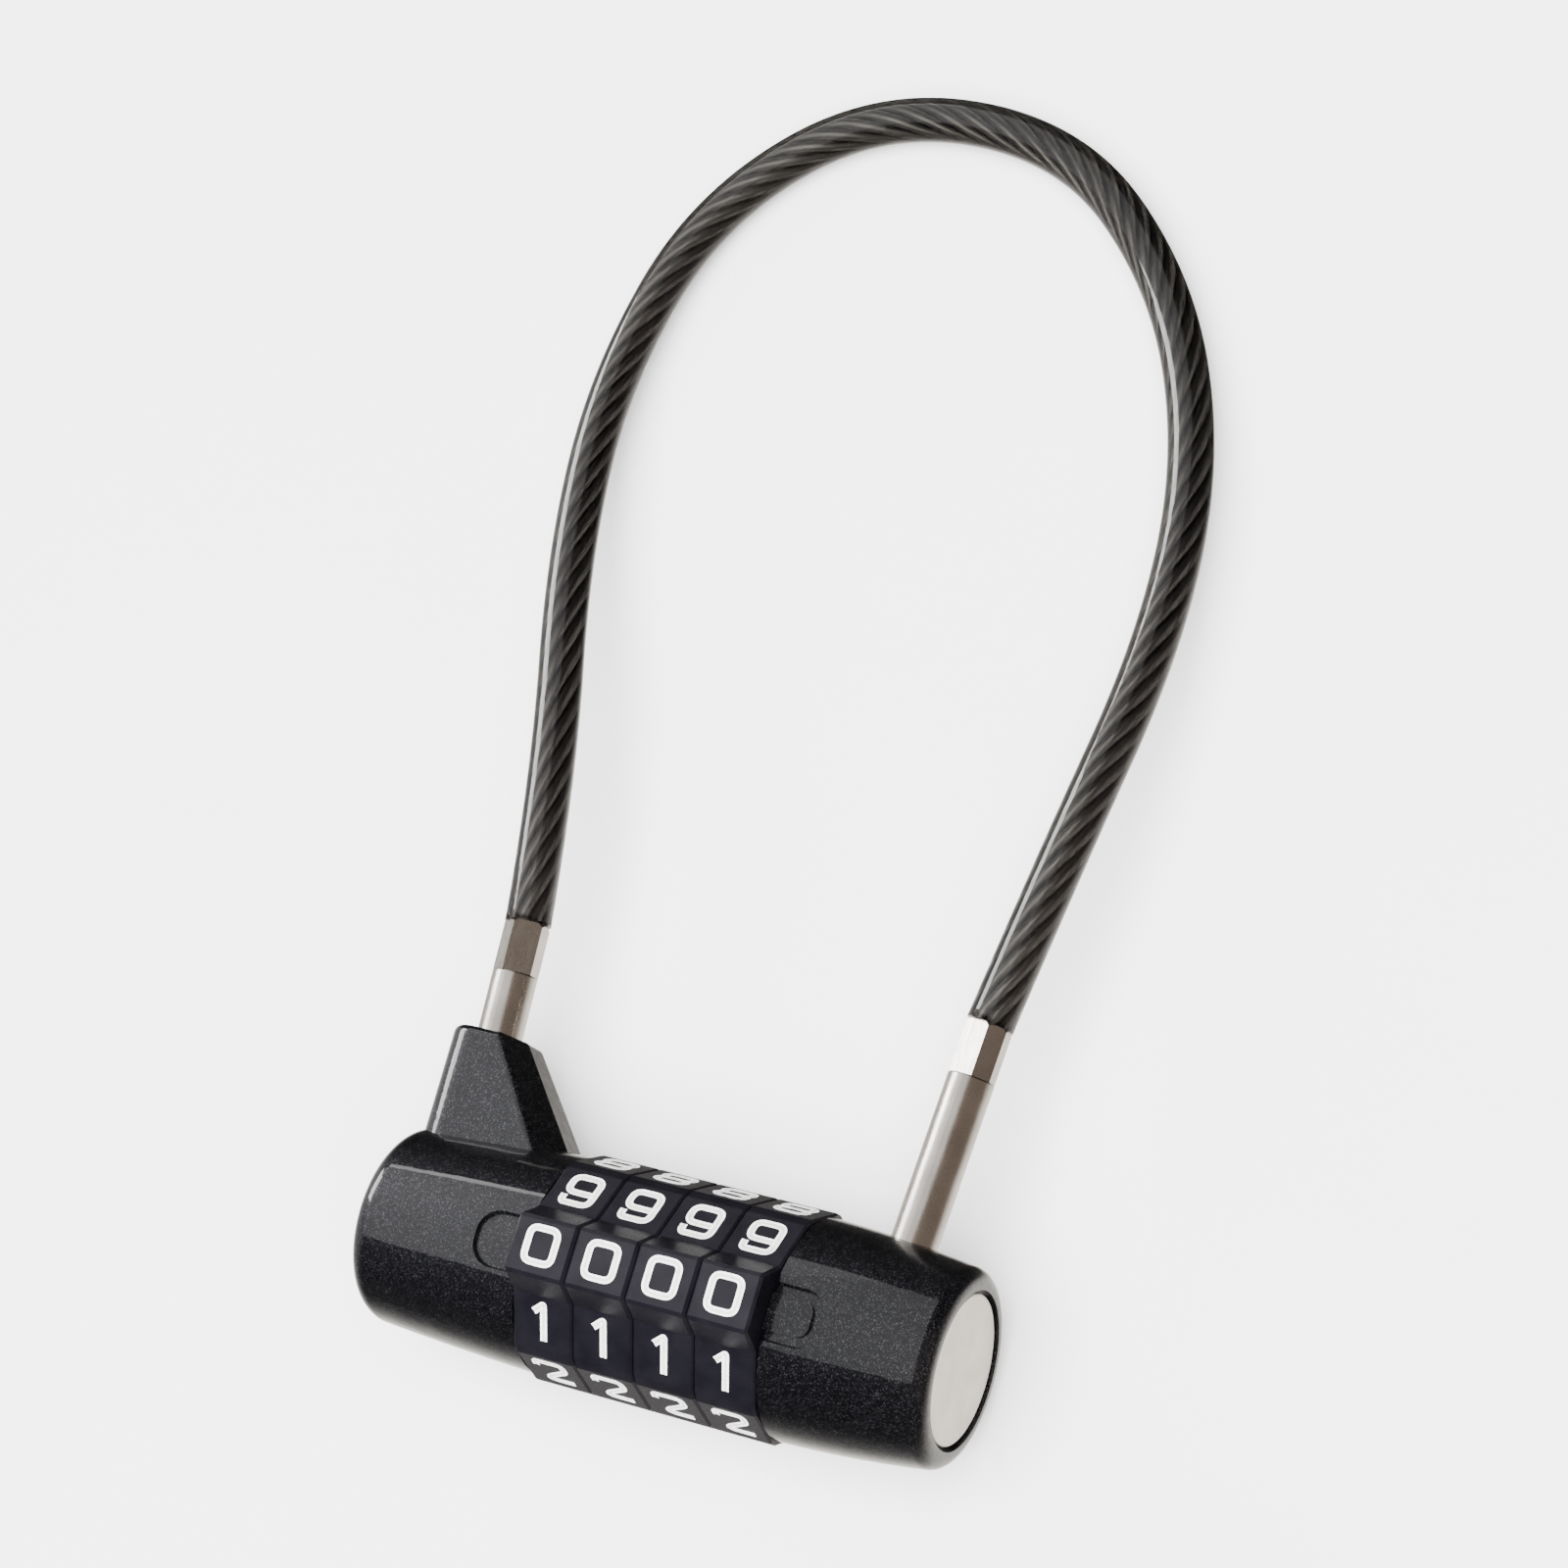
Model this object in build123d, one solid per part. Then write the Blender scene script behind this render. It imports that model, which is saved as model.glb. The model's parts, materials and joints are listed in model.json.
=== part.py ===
"""Four-dial combination padlock with a jacketed wire-rope shackle, one STEP file per piece.

Row frame: +X along the lock body to the button end, +Y from the body to the shackle loop,
+Z up with the lock lying on its back, so the index row of the dials faces up.
The shapes are drawn about the lock axis and moved to the row frame when they are saved.
Pose drawn: code dialled, button out, free end of the shackle in its bore.
Lengths are millimetres.
"""

import os
from math import cos, pi, radians, sin, tan

from build123d import *

# ---- driving dimensions: dials
DIAL_COUNT = 4
DIAL_FACETS = 10
FACET_ANGLE = 360 / DIAL_FACETS
DIAL_PITCH = 7.0
DIAL_WIDTH = 6.9
DIAL_APOTHEM = 11.75          # lock axis to the flat of a number pad
DIAL_CORNER_RADIUS = 12.15    # the corners between pads are turned down to this
DIAL_EDGE = 0.22
ZERO_PAD_RISE = 3.0           # the pad of the opening digit stands this far above the others
ZERO_PAD_ROOT = 1.2           # and starts this far below them
ZERO_PAD_HALF_TOP = 3.0
ZERO_PAD_HALF_ROOT = 4.8
ZERO_PAD_EDGE = 0.3
CODE_RING_OUTER = 9.2
CODE_RING_WIDTH = 6.6
CODE_RING_BORE = 6.03
WEB_HALF = 0.45               # half thickness of the web that traps a fin
GROOVE_END = 1.95             # far wall of the groove beside the web
GROOVE_RADIUS = 8.0
GATE_HALF = 1.25
FLUTE_RADIUS = 0.6
FLUTE_CENTRE = 5.85

# ---- driving dimensions: body
DIAL_X = 1.85                 # centre of the dial stack in the row frame
STACK_HALF = DIAL_COUNT * DIAL_PITCH / 2
HOUSING_GAP = 0.1
LEFT_END = -35.3
RIGHT_END = 31.6
HOUSING_R_DIAL = 11.65
HOUSING_R_MIDDLE = 11.2
LEFT_R_END = 10.5
RIGHT_R_END = 10.2
LEFT_END_ROUND = 2.5
RIGHT_RIM_ROUND = 1.8
SLEEVE_OUTER = 5.95
SLEEVE_BORE = 2.70
SLEEVE_LEFT = -19.1
SLEEVE_RIGHT = 18.5
FIN_SLOT_HALF = 1.1
SPRING_BORE = 3.1
SPRING_FLOOR = -26.0

# ---- driving dimensions: boss of the fixed end
BOSS_TOP = 22.0
BOSS_BASE = 8.0
BOSS_LEFT_TOP = -34.9
BOSS_LEFT_BASE = -34.2
BOSS_FRONT_TOP = -28.3        # where the front face ends at its crease
BOSS_FRONT_BASE = -17.9
BOSS_RIDGE_TOP = -26.7
BOSS_RIDGE_BASE = -15.3
BOSS_BACK_TOP = -26.8
BOSS_BACK_BASE = -15.4
BOSS_HALF_TOP = 4.2
BOSS_HALF_BASE = 5.0
BOSS_EDGE_ROUND = 3.4
BOSS_CREASE_ROUND = 0.7
BOSS_TOP_ROUND = 0.9

# ---- driving dimensions: shackle
LEG_LEAN = 3.6                # both end pins lean outwards by this angle
LEFT_FOOT = -28.86            # where each pin's axis meets the lock axis
RIGHT_FOOT = 21.89
SHANK_RADIUS = 2.5
FREE_BORE_RADIUS = 2.58
FERRULE_START = 29.0
FERRULE_END = 34.8
FERRULE_CORNER_RADIUS = 2.5
FERRULE_CORNERS = (39, 90, 141)   # angles from the middle of a wide flat to the corners, each side
FIXED_FERRULE_TURN = 29       # how far a wide flat is turned from +Z towards +X
FREE_FERRULE_TURN = -21
FERRULE_TAPER = 0.8           # length of the turned-down end beside the jacket
FERRULE_TAPER_STEP = 0.3
PIN_TIP_CHAMFER = 0.5
PIN_SHOULDER_ROUND = 0.2
FIXED_TIP = 6.0
FREE_TIP = -9.0
FREE_BORE_END = -9.4
ROPE_RADIUS = 1.6
ROPE_SEAT = 24.0
ROPE_END_GAP = 0.2
FREE_ROPE_BORE = 1.65        # the free pin clears the rope, which is another body
JACKET_RADIUS = 2.55
CATCH_Y = -6.9                # height of the locking plate on the free pin
CATCH_RADIUS = 1.5
CATCH_HALF = 1.1
BEND_SHARE = 0.45             # part of the shorter run that a bend in the cable may use

# ---- driving dimensions: bolt train
BUTTON_TRAVEL = 2.4
SPINDLE_RADIUS = 2.62
SPINDLE_LEFT = -19.4
SPINDLE_RIGHT = 18.4
SPIGOT_RADIUS = 1.4
SPIGOT_LEFT = -21.4
FIN_HALF_THICK = 0.45
FIN_HALF_WIDTH = 1.0
FIN_REACH = 7.7
BLADE_LEFT = 16.6
PLATE_HALF_THICK = 0.4
PLATE_HALF_WIDTH = 3.8
PLATE_RIGHT = 27.0
TONGUE_HALF_WIDTH = 2.4
TONGUE_RIGHT = 29.3
KEYHOLE_RADIUS = 2.7
KEYHOLE_SLOT_HALF = 1.6
KEYHOLE_SLOT_END = 4.1
PLATE_CLEARANCE = 0.2
FIN_CLEARANCE = 0.15
RIVET_RADIUS = 0.6
RIVET_TOP = -4.8
BUTTON_REAR = 28.1
BUTTON_STEP = 29.9
BUTTON_FACE = 31.3
BUTTON_SKIRT_RADIUS = 8.18
BUTTON_FACE_RADIUS = 7.85
BUTTON_BORE = 8.25
BUTTON_BORE_FLOOR = 25.6
BUTTON_EDGE_ROUND = 0.25
BUTTON_HOLLOW = 5.5
BUTTON_WALL = 1.6
SNAP_INNER = 7.92
SNAP_OUTER = 8.7
SNAP_LEFT = 29.95
SNAP_RIGHT = 30.5
SNAP_GAP_HALF = 1.2

# ---- driving dimensions: small parts
SLEEVE_PIN_RADIUS = 1.0
SLEEVE_PIN_X = 16.4
SLEEVE_PIN_OUTER = -10.8
SLEEVE_PIN_INNER = -4.4
CROSS_PIN_RADIUS = 0.8
CROSS_PIN_HEIGHT = 15.0
CROSS_PIN_OUTER = -4.3
CROSS_PIN_INNER = 2.8
SPRING_MEAN_RADIUS = 2.1
SPRING_WIRE = 0.25
SPRING_PITCH = 1.1
LEAF_LEFT = -13.3
LEAF_RIGHT = 13.5
LEAF_CLEARANCE = 0.1
LEAF_SEAT = 5.35
LEAF_THICK = 0.3
LEAF_HALF_WIDTH = 1.5
LEAF_BUMP_RADIUS = 0.5
LEAF_BUMP_TOP = 6.25
LEAF_BUMP_OFFSET = 0.2        # from the far wall of a code ring's groove
LEAF_BUMP_WIDTH = 0.9
MARK_LENGTH = 5.8
MARK_HALF = 3.0
MARK_GROOVE = 1.1
MARK_DEPTH = 0.5
MARK_ROUND = 2.4

# ---- helpers for cutting and for picking edges
OUTSIDE = 14.0                # farther from the lock axis than any surface of the barrel
NEAR = 0.02                   # closer than this counts as the same place
LONG_EDGE = 10.0

# ---- position of the lock axis in the row frame
AXIS_Y = -4.92
AXIS_Z = DIAL_APOTHEM

# Corners of the cable's centre line in the row frame, from the fixed end round to the free end.
CABLE_LOOP = [
    (-30.245, 46.5, 11.75),
    (-41.0, 72.7, 7.7),
    (-43.3, 96.2, 4.4),
    (-39.2, 118.5, 2.6),
    (-21.3, 133.5, 2.55),
    (2.6, 132.4, 2.55),
    (19.7, 117.0, 2.6),
    (28.5, 97.0, 4.3),
    (32.3, 74.1, 7.5),
    (27.057, 47.8, 11.75),
]


def cyl(radius, x0, x1):
    """Solid cylinder on the lock axis."""
    return Pos((x0 + x1) / 2, 0, 0) * Rot(0, 90, 0) * Cylinder(radius, x1 - x0)


def tube(outer, inner, x0, x1):
    return cyl(outer, x0, x1) - cyl(inner, x0, x1)


def block(x0, x1, y0, y1, z0, z1):
    middle = Pos((x0 + x1) / 2, (y0 + y1) / 2, (z0 + z1) / 2)
    return middle * Box(x1 - x0, y1 - y0, z1 - z0)


def upright(radius, x, y, z0, z1):
    """Solid cylinder along Z."""
    return Pos(x, y, (z0 + z1) / 2) * Cylinder(radius, z1 - z0)


def leg(foot, lean):
    """Location whose +Z runs up a shackle pin from the lock axis."""
    direction = Vector(sin(radians(lean)), cos(radians(lean)), 0)
    return Location(Plane(origin=(foot, 0, 0), x_dir=(0, 0, 1), z_dir=direction))


LEFT_LEG = leg(LEFT_FOOT, -LEG_LEAN)
RIGHT_LEG = leg(RIGHT_FOOT, LEG_LEAN)
CROSS_PIN_X = LEFT_FOOT - CROSS_PIN_HEIGHT * tan(radians(LEG_LEAN))


def rod(radius, low, high):
    """Solid cylinder along +Z from low to high."""
    return Pos(0, 0, (low + high) / 2) * Cylinder(radius, high - low)


def dial_centre(index):
    return (index - (DIAL_COUNT - 1) / 2) * DIAL_PITCH


def save(shape, name):
    solid = Pos(DIAL_X, AXIS_Y, AXIS_Z) * shape
    solid.label = name
    export_step(solid, os.path.join("parts", name + ".step"))
    return solid


# ---- dials
def zero_pad():
    """Proud pad of the opening digit, as wide as the ring, with sloping walls above and below."""
    low, high = DIAL_APOTHEM - ZERO_PAD_ROOT, DIAL_APOTHEM + ZERO_PAD_RISE
    root, top = ZERO_PAD_HALF_ROOT, ZERO_PAD_HALF_TOP
    outline = [(-root, low), (root, low), (top, high), (-top, high)]
    profile = Plane.YZ.offset(-DIAL_WIDTH / 2) * make_face(Polyline(*outline, close=True))
    pad = extrude(profile, DIAL_WIDTH)
    return chamfer([e for e in pad.edges() if e.center().Z > low + NEAR], ZERO_PAD_EDGE)


def dial_ring():
    """Ten flats with turned-down corners, one of them carrying the proud pad."""
    half = DIAL_WIDTH / 2
    corner = DIAL_APOTHEM / cos(pi / DIAL_FACETS)
    flats = extrude(Plane.YZ.offset(-half) * RegularPolygon(corner, DIAL_FACETS), DIAL_WIDTH)
    ring = flats & cyl(DIAL_CORNER_RADIUS, -half, half)
    sides = [e for e in ring.edges() if abs(abs(e.center().X) - half) < NEAR]
    ring = chamfer(sides, DIAL_EDGE)
    return ring + zero_pad() - cyl(CODE_RING_OUTER, -DIAL_WIDTH, DIAL_WIDTH)


def code_ring():
    half = CODE_RING_WIDTH / 2
    ring = tube(CODE_RING_OUTER, CODE_RING_BORE, -half, half)
    ring -= cyl(GROOVE_RADIUS, -GROOVE_END, -WEB_HALF)
    ring -= cyl(GROOVE_RADIUS, WEB_HALF, GROOVE_END)
    ring -= block(-half, half, -GROOVE_RADIUS, 0, -GATE_HALF, GATE_HALF)
    flute = Pos(0, FLUTE_CENTRE, 0) * cyl(FLUTE_RADIUS, GROOVE_END, half)
    for step in range(DIAL_FACETS):
        ring -= Rot(step * FACET_ANGLE, 0, 0) * flute
    return ring


# ---- housings
def barrel(x_dial, x_end, end_radius, depth=0):
    """Half of the lock's barrel-shaped body, solid, with its surface sunk by the given depth."""
    start, finish = (x_dial, HOUSING_R_DIAL - depth), (x_end, end_radius - depth)
    middle = ((x_dial + x_end) / 2, HOUSING_R_MIDDLE - depth)
    side = ThreePointArc(start, middle, finish)
    rest = Polyline(finish, (x_end, 0), (x_dial, 0), start)
    return revolve(make_face(side + rest), Axis.X)


def end_edge(solid, x_end):
    """Circular outer edge of a barrel at its far end."""
    circles = solid.edges().filter_by(GeomType.CIRCLE)
    return [e for e in circles if abs(e.center().X - x_end) < NEAR]


def index_mark(x_dial, side, x_end, end_radius):
    """Cutter for the engraved index mark, open towards the dials, of even depth."""
    pieces = []
    for shrink in (0, MARK_GROOVE):
        far, half = x_dial + side * (MARK_LENGTH - shrink), MARK_HALF - shrink
        tongue = block(min(x_dial, far), max(x_dial, far), -half, half, -shrink, OUTSIDE + shrink)
        ends = [e for e in tongue.edges().filter_by(Axis.Z) if abs(e.center().X - far) < NEAR]
        pieces.append(fillet(ends, MARK_ROUND - shrink))
    outer, inner = pieces
    return outer - inner - barrel(x_dial, x_end, end_radius, MARK_DEPTH)


def boss_section(height, left, front, ridge, back, half):
    outline = [(left, -half), (back, -half), (ridge, 0), (front, half), (left, half)]
    plane = Plane(origin=(0, height, 0), x_dir=(1, 0, 0), z_dir=(0, -1, 0))
    return plane * make_face(Polyline(*outline, close=True))


def corner_edges(solid, left):
    """Long edges at the boss's outer corners, either on its left side or at its creases."""
    middle = (BOSS_FRONT_TOP + BOSS_LEFT_TOP) / 2
    outer = [e for e in solid.edges() if e.length > LONG_EDGE and abs(e.center().Z) > 3]
    return [e for e in outer if (e.center().X < middle) == left]


def boss():
    top = boss_section(BOSS_TOP, BOSS_LEFT_TOP, BOSS_FRONT_TOP, BOSS_RIDGE_TOP, BOSS_BACK_TOP, BOSS_HALF_TOP)
    base = boss_section(
        BOSS_BASE, BOSS_LEFT_BASE, BOSS_FRONT_BASE, BOSS_RIDGE_BASE, BOSS_BACK_BASE, BOSS_HALF_BASE)
    solid = loft([base, top], ruled=True)
    solid = fillet(corner_edges(solid, True), BOSS_EDGE_ROUND)
    solid = fillet(corner_edges(solid, False), BOSS_CREASE_ROUND)
    rim = [e for e in solid.edges() if abs(e.center().Y - BOSS_TOP) < NEAR]
    return fillet(rim, BOSS_TOP_ROUND)


def left_housing():
    inner = -STACK_HALF - HOUSING_GAP
    solid = barrel(inner, LEFT_END, LEFT_R_END)
    solid = fillet(end_edge(solid, LEFT_END), LEFT_END_ROUND)
    solid += boss()
    solid -= cyl(SLEEVE_OUTER, SLEEVE_LEFT, 0)
    solid -= cyl(SPRING_BORE, SPRING_FLOOR, 0)
    solid -= LEFT_LEG * rod(SHANK_RADIUS, FIXED_TIP, FERRULE_START)
    solid -= upright(SLEEVE_PIN_RADIUS, -SLEEVE_PIN_X, 0, -OUTSIDE, SLEEVE_PIN_INNER)
    solid -= upright(CROSS_PIN_RADIUS, CROSS_PIN_X, CROSS_PIN_HEIGHT, -OUTSIDE, CROSS_PIN_INNER)
    return solid - index_mark(inner, -1, LEFT_END, LEFT_R_END)


def right_housing():
    inner = STACK_HALF + HOUSING_GAP
    solid = barrel(inner, RIGHT_END, RIGHT_R_END)
    solid = fillet(end_edge(solid, RIGHT_END), RIGHT_RIM_ROUND)
    solid -= cyl(SLEEVE_OUTER, 0, SLEEVE_RIGHT)
    solid -= cyl(BUTTON_BORE, BUTTON_BORE_FLOOR, RIGHT_END + 1)
    solid -= cyl(SNAP_OUTER, SNAP_LEFT, SNAP_RIGHT)
    thick, wide = PLATE_HALF_THICK + PLATE_CLEARANCE, PLATE_HALF_WIDTH + PLATE_CLEARANCE
    solid -= block(0, BUTTON_BORE_FLOOR + 1, CATCH_Y - thick, CATCH_Y + thick, -wide, wide)
    wide = FIN_HALF_WIDTH + FIN_CLEARANCE
    solid -= block(0, SLEEVE_RIGHT, CATCH_Y, 0, -wide, wide)
    solid -= RIGHT_LEG * rod(FREE_BORE_RADIUS, FREE_BORE_END, OUTSIDE)
    solid -= upright(SLEEVE_PIN_RADIUS, SLEEVE_PIN_X, 0, -OUTSIDE, SLEEVE_PIN_INNER)
    return solid - index_mark(inner, 1, RIGHT_END, RIGHT_R_END)


# ---- core
def core_sleeve():
    sleeve = tube(SLEEVE_OUTER, SLEEVE_BORE, SLEEVE_LEFT, SLEEVE_RIGHT)
    slot_start = dial_centre(0) - BUTTON_TRAVEL
    sleeve -= block(slot_start, SLEEVE_RIGHT + 1, -OUTSIDE, 0, -FIN_SLOT_HALF, FIN_SLOT_HALF)
    wide = LEAF_HALF_WIDTH + LEAF_CLEARANCE
    left, right = LEAF_LEFT - LEAF_CLEARANCE, LEAF_RIGHT + LEAF_CLEARANCE
    sleeve -= block(left, right, LEAF_SEAT, OUTSIDE, -wide, wide)
    for x in (-SLEEVE_PIN_X, SLEEVE_PIN_X):
        sleeve -= upright(SLEEVE_PIN_RADIUS, x, 0, -OUTSIDE, SLEEVE_PIN_INNER)
    return sleeve


def detent_leaf():
    """Strip spring with one bump per dial, lying on a flat of the sleeve."""
    top = LEAF_SEAT + LEAF_THICK
    leaf = block(LEAF_LEFT, LEAF_RIGHT, LEAF_SEAT, top, -LEAF_HALF_WIDTH, LEAF_HALF_WIDTH)
    for index in range(DIAL_COUNT):
        start = dial_centre(index) + GROOVE_END + LEAF_BUMP_OFFSET
        end = start + LEAF_BUMP_WIDTH
        bump = Pos(0, LEAF_BUMP_TOP - LEAF_BUMP_RADIUS, 0) * cyl(LEAF_BUMP_RADIUS, start, end)
        leaf += bump - block(start, end, 0, LEAF_SEAT, -LEAF_HALF_WIDTH, LEAF_HALF_WIDTH)
    return leaf


def sleeve_pin(x):
    return upright(SLEEVE_PIN_RADIUS, x, 0, SLEEVE_PIN_OUTER, SLEEVE_PIN_INNER)


# ---- bolt train
def plate_rivet():
    """Rivet through the locking plate into the spindle's blade."""
    low = CATCH_Y - PLATE_HALF_THICK
    middle = Pos((BLADE_LEFT + SPINDLE_RIGHT) / 2, (low + RIVET_TOP) / 2, 0)
    return middle * Rot(90, 0, 0) * Cylinder(RIVET_RADIUS, RIVET_TOP - low)


def spindle():
    shaft = cyl(SPINDLE_RADIUS, SPINDLE_LEFT, SPINDLE_RIGHT)
    shaft += cyl(SPIGOT_RADIUS, SPIGOT_LEFT, SPINDLE_LEFT)
    for index in range(DIAL_COUNT):
        middle = dial_centre(index) + BUTTON_TRAVEL / 2
        left, right = middle - FIN_HALF_THICK, middle + FIN_HALF_THICK
        shaft += block(left, right, -FIN_REACH, 0, -FIN_HALF_WIDTH, FIN_HALF_WIDTH)
    top = CATCH_Y + PLATE_HALF_THICK
    shaft += block(BLADE_LEFT, SPINDLE_RIGHT, top, 0, -FIN_HALF_WIDTH, FIN_HALF_WIDTH)
    return shaft - plate_rivet()


def locking_plate():
    low, high = CATCH_Y - PLATE_HALF_THICK, CATCH_Y + PLATE_HALF_THICK
    wide = PLATE_HALF_WIDTH
    plate = block(BLADE_LEFT, PLATE_RIGHT, low, high, -wide, wide)
    plate += block(PLATE_RIGHT, TONGUE_RIGHT, low, high, -TONGUE_HALF_WIDTH, TONGUE_HALF_WIDTH)
    hole_x = RIGHT_FOOT + CATCH_Y * tan(radians(LEG_LEAN))
    hole = Pos(hole_x, CATCH_Y, 0) * Rot(90, 0, 0) * Cylinder(KEYHOLE_RADIUS, 4 * PLATE_HALF_THICK)
    half = KEYHOLE_SLOT_HALF
    slot = block(hole_x, hole_x + KEYHOLE_SLOT_END, low, high, -half, half)
    return plate - hole - slot - plate_rivet()


def lock_button():
    body = cyl(BUTTON_SKIRT_RADIUS, BUTTON_REAR, BUTTON_STEP)
    face = cyl(BUTTON_FACE_RADIUS, BUTTON_STEP, BUTTON_FACE)
    rim = [e for e in face.edges() if abs(e.center().X - BUTTON_FACE) < NEAR]
    body += fillet(rim, BUTTON_EDGE_ROUND)
    body -= cyl(BUTTON_HOLLOW, BUTTON_REAR, BUTTON_FACE - BUTTON_WALL)
    low, high = CATCH_Y - PLATE_HALF_THICK, CATCH_Y + PLATE_HALF_THICK
    return body - block(BUTTON_REAR, TONGUE_RIGHT, low, high, -TONGUE_HALF_WIDTH, TONGUE_HALF_WIDTH)


def button_snap_ring():
    ring = tube(SNAP_OUTER, SNAP_INNER, SNAP_LEFT, SNAP_RIGHT)
    return ring - block(SNAP_LEFT, SNAP_RIGHT, -OUTSIDE, 0, -SNAP_GAP_HALF, SNAP_GAP_HALF)


def return_spring():
    start = SPRING_FLOOR + SPRING_WIRE
    length = SPINDLE_LEFT - SPRING_WIRE - start
    line = Helix(SPRING_PITCH, length, SPRING_MEAN_RADIUS)
    coil = sweep(Plane(line ^ 0) * Circle(SPRING_WIRE), path=line)
    return Pos(start, 0, 0) * Rot(0, 90, 0) * coil


# ---- shackle
def ferrule(turn):
    """Crimped end of a shackle pin, drawn along +Z: two wide flats and four narrow ones."""
    radius = FERRULE_CORNER_RADIUS
    angles = [turn - a for a in reversed(FERRULE_CORNERS)] + [turn + a for a in FERRULE_CORNERS]
    corners = [(radius * cos(radians(a)), radius * sin(radians(a))) for a in angles]
    prism = extrude(make_face(Polyline(*corners, close=True)), FERRULE_END - FERRULE_START)
    taper_start = FERRULE_END - FERRULE_TAPER
    taper = Cone(radius + FERRULE_TAPER_STEP, radius - FERRULE_TAPER_STEP, FERRULE_TAPER)
    envelope = rod(radius + FERRULE_TAPER_STEP, FERRULE_START, taper_start)
    envelope += Pos(0, 0, (taper_start + FERRULE_END) / 2) * taper
    return envelope & Pos(0, 0, FERRULE_START) * prism


def shank(tip, rope_bore, turn, catch):
    solid = rod(SHANK_RADIUS, tip, FERRULE_START)
    ends = solid.edges().filter_by(GeomType.CIRCLE).sort_by(Axis.Z)
    solid = chamfer(ends[0], PIN_TIP_CHAMFER)
    ends = solid.edges().filter_by(GeomType.CIRCLE).sort_by(Axis.Z)
    solid = fillet(ends[-1], PIN_SHOULDER_ROUND)
    if catch:
        centre = CATCH_Y / cos(radians(LEG_LEAN))
        ring = rod(SHANK_RADIUS + 1, centre - CATCH_HALF, centre + CATCH_HALF)
        solid -= ring - rod(CATCH_RADIUS, centre - 2 * CATCH_HALF, centre + 2 * CATCH_HALF)
    return solid + ferrule(turn) - rod(rope_bore, ROPE_SEAT - ROPE_END_GAP, FERRULE_END + 1)


def fixed_end_pin():
    pin = LEFT_LEG * shank(FIXED_TIP, ROPE_RADIUS, FIXED_FERRULE_TURN, False)
    return pin - upright(CROSS_PIN_RADIUS, CROSS_PIN_X, CROSS_PIN_HEIGHT, -OUTSIDE, CROSS_PIN_INNER)


def free_end_pin():
    return RIGHT_LEG * shank(FREE_TIP, FREE_ROPE_BORE, FREE_FERRULE_TURN, True)


def fixed_end_cross_pin():
    return upright(CROSS_PIN_RADIUS, CROSS_PIN_X, CROSS_PIN_HEIGHT, CROSS_PIN_OUTER, CROSS_PIN_INNER)


def on_leg(foot, lean, distance):
    """Point on a shackle pin's axis in the row frame."""
    x = foot + sin(radians(lean)) * distance + DIAL_X
    return Vector(x, cos(radians(lean)) * distance + AXIS_Y, AXIS_Z)


def corner_radii(points):
    """Bend radius at each inner point, from the shorter run beside it and half its turn."""
    radii = []
    for before, here, after in zip(points, points[1:], points[2:]):
        entry, leaving = here - before, after - here
        half_turn = radians(entry.get_angle(leaving)) / 2
        radii.append(BEND_SHARE * min(entry.length, leaving.length) / tan(half_turn))
    return radii


def cable_path(distance, radii):
    """Centre line that starts and ends at one distance up the two pins."""
    inner = [Vector(*p) for p in CABLE_LOOP]
    start = on_leg(LEFT_FOOT, -LEG_LEAN, distance)
    end = on_leg(RIGHT_FOOT, LEG_LEAN, distance)
    return FilletPolyline(*[start, *inner, end], radius=radii)


def swept(radius, path):
    section = Plane(origin=path @ 0, z_dir=path % 0) * Circle(radius)
    return sweep(section, path=path)


def cable():
    """Wire rope and its jacket, both already in the row frame."""
    start = on_leg(LEFT_FOOT, -LEG_LEAN, FERRULE_END)
    end = on_leg(RIGHT_FOOT, LEG_LEAN, FERRULE_END)
    radii = corner_radii([start, *[Vector(*p) for p in CABLE_LOOP], end])
    print("cable bend radii", [round(r, 1) for r in radii])
    outer_path = cable_path(FERRULE_END, radii)
    rope_path = cable_path(ROPE_SEAT, radii)
    rope = swept(ROPE_RADIUS, rope_path)
    jacket = swept(JACKET_RADIUS, outer_path) - swept(ROPE_RADIUS, outer_path)
    area = pi * (JACKET_RADIUS**2 - ROPE_RADIUS**2)
    print("jacket length", round(outer_path.length, 2), "rope length", round(rope_path.length, 2))
    print("jacket volume", round(jacket.volume, 1), "section x length", round(area * outer_path.length, 1))
    print("rope volume", round(rope.volume, 1), round(pi * ROPE_RADIUS**2 * rope_path.length, 1))
    return rope, jacket


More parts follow.
